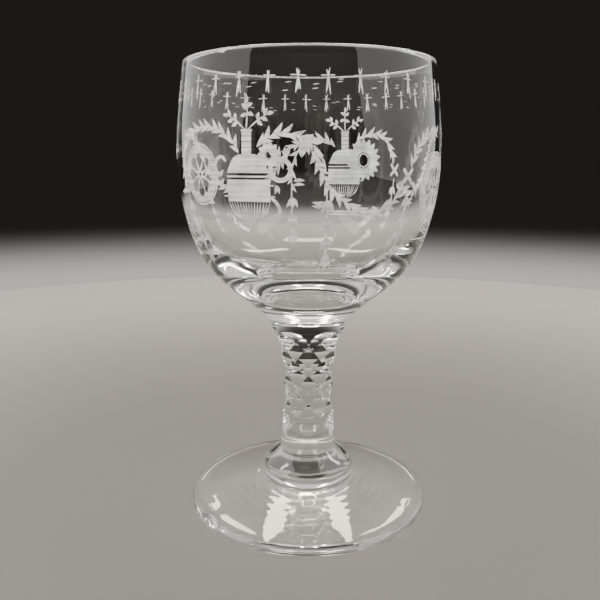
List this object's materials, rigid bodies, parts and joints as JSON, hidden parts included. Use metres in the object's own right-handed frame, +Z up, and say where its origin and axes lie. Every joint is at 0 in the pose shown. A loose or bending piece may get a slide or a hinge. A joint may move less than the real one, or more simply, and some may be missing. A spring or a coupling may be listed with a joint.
{
  "type": "wine glass",
  "caption": "Footed wine glass of clear glass: deep rounded bowl with wheel-engraved decoration, facet-cut waisted stem, domed collar and wide foot.",
  "frame": {"origin": "middle of the foot's underside plane, on the axis of the glass", "axes": "+Z up along the axis of the glass; one column of stem facets faces -Y"},
  "size_m": [0.086, 0.086, 0.15],
  "materials": {
    "clear_glass": "fire-polished, colourless",
    "cut_glass": "ground facets, polished",
    "engraved_glass": "wheel-engraved, matt white"
  },
  "bodies": {
    "root": {"foot": "clear_glass", "collar": "clear_glass", "stem": "cut_glass", "bowl": "clear_glass"}
  },
  "joints": []
}
